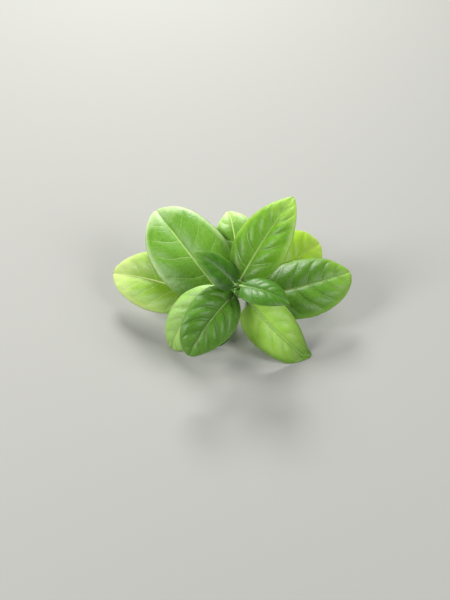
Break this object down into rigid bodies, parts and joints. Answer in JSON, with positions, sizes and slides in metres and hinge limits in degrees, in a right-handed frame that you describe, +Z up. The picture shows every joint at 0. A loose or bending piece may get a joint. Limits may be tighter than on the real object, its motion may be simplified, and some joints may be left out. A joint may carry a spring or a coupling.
{
  "type": "basil bunch",
  "caption": "Small bunch of fresh sweet basil, laid down: leafy heads of smooth, egg-shaped green leaves on long stalks, with square cut stems trailing behind.",
  "frame": {"origin": "on the surface that the bunch lies on, under the middle of its bounding box", "axes": "+X across the leafy heads, to the right as the picture sees them; +Y back along the lying stems, towards their cut ends; +Z up from the surface"},
  "size_m": [0.1393, 0.1145, 0.0728],
  "materials": {
    "stem": "satin, living green stem",
    "leaf_dark": "satin, living leaf",
    "leaf_mid": "satin, living leaf",
    "leaf_pale": "satin, living leaf"
  },
  "bodies": {
    "root": {"stem_main": "stem", "stem_left": "stem", "stem_rear": "stem", "leaf_main_top_left": "leaf_dark", "leaf_main_top_right": "leaf_dark", "leaf_main_second_back": "leaf_mid", "leaf_main_second_front": "leaf_dark", "leaf_main_third_left": "leaf_mid", "leaf_main_third_right": "leaf_mid", "leaf_main_fourth_left": "leaf_pale", "leaf_main_fourth_right": "leaf_mid", "leaf_main_fifth_front": "leaf_dark", "leaf_left_front": "leaf_pale", "leaf_rear_right": "leaf_pale", "leaf_rear_back": "leaf_pale"}
  },
  "joints": []
}
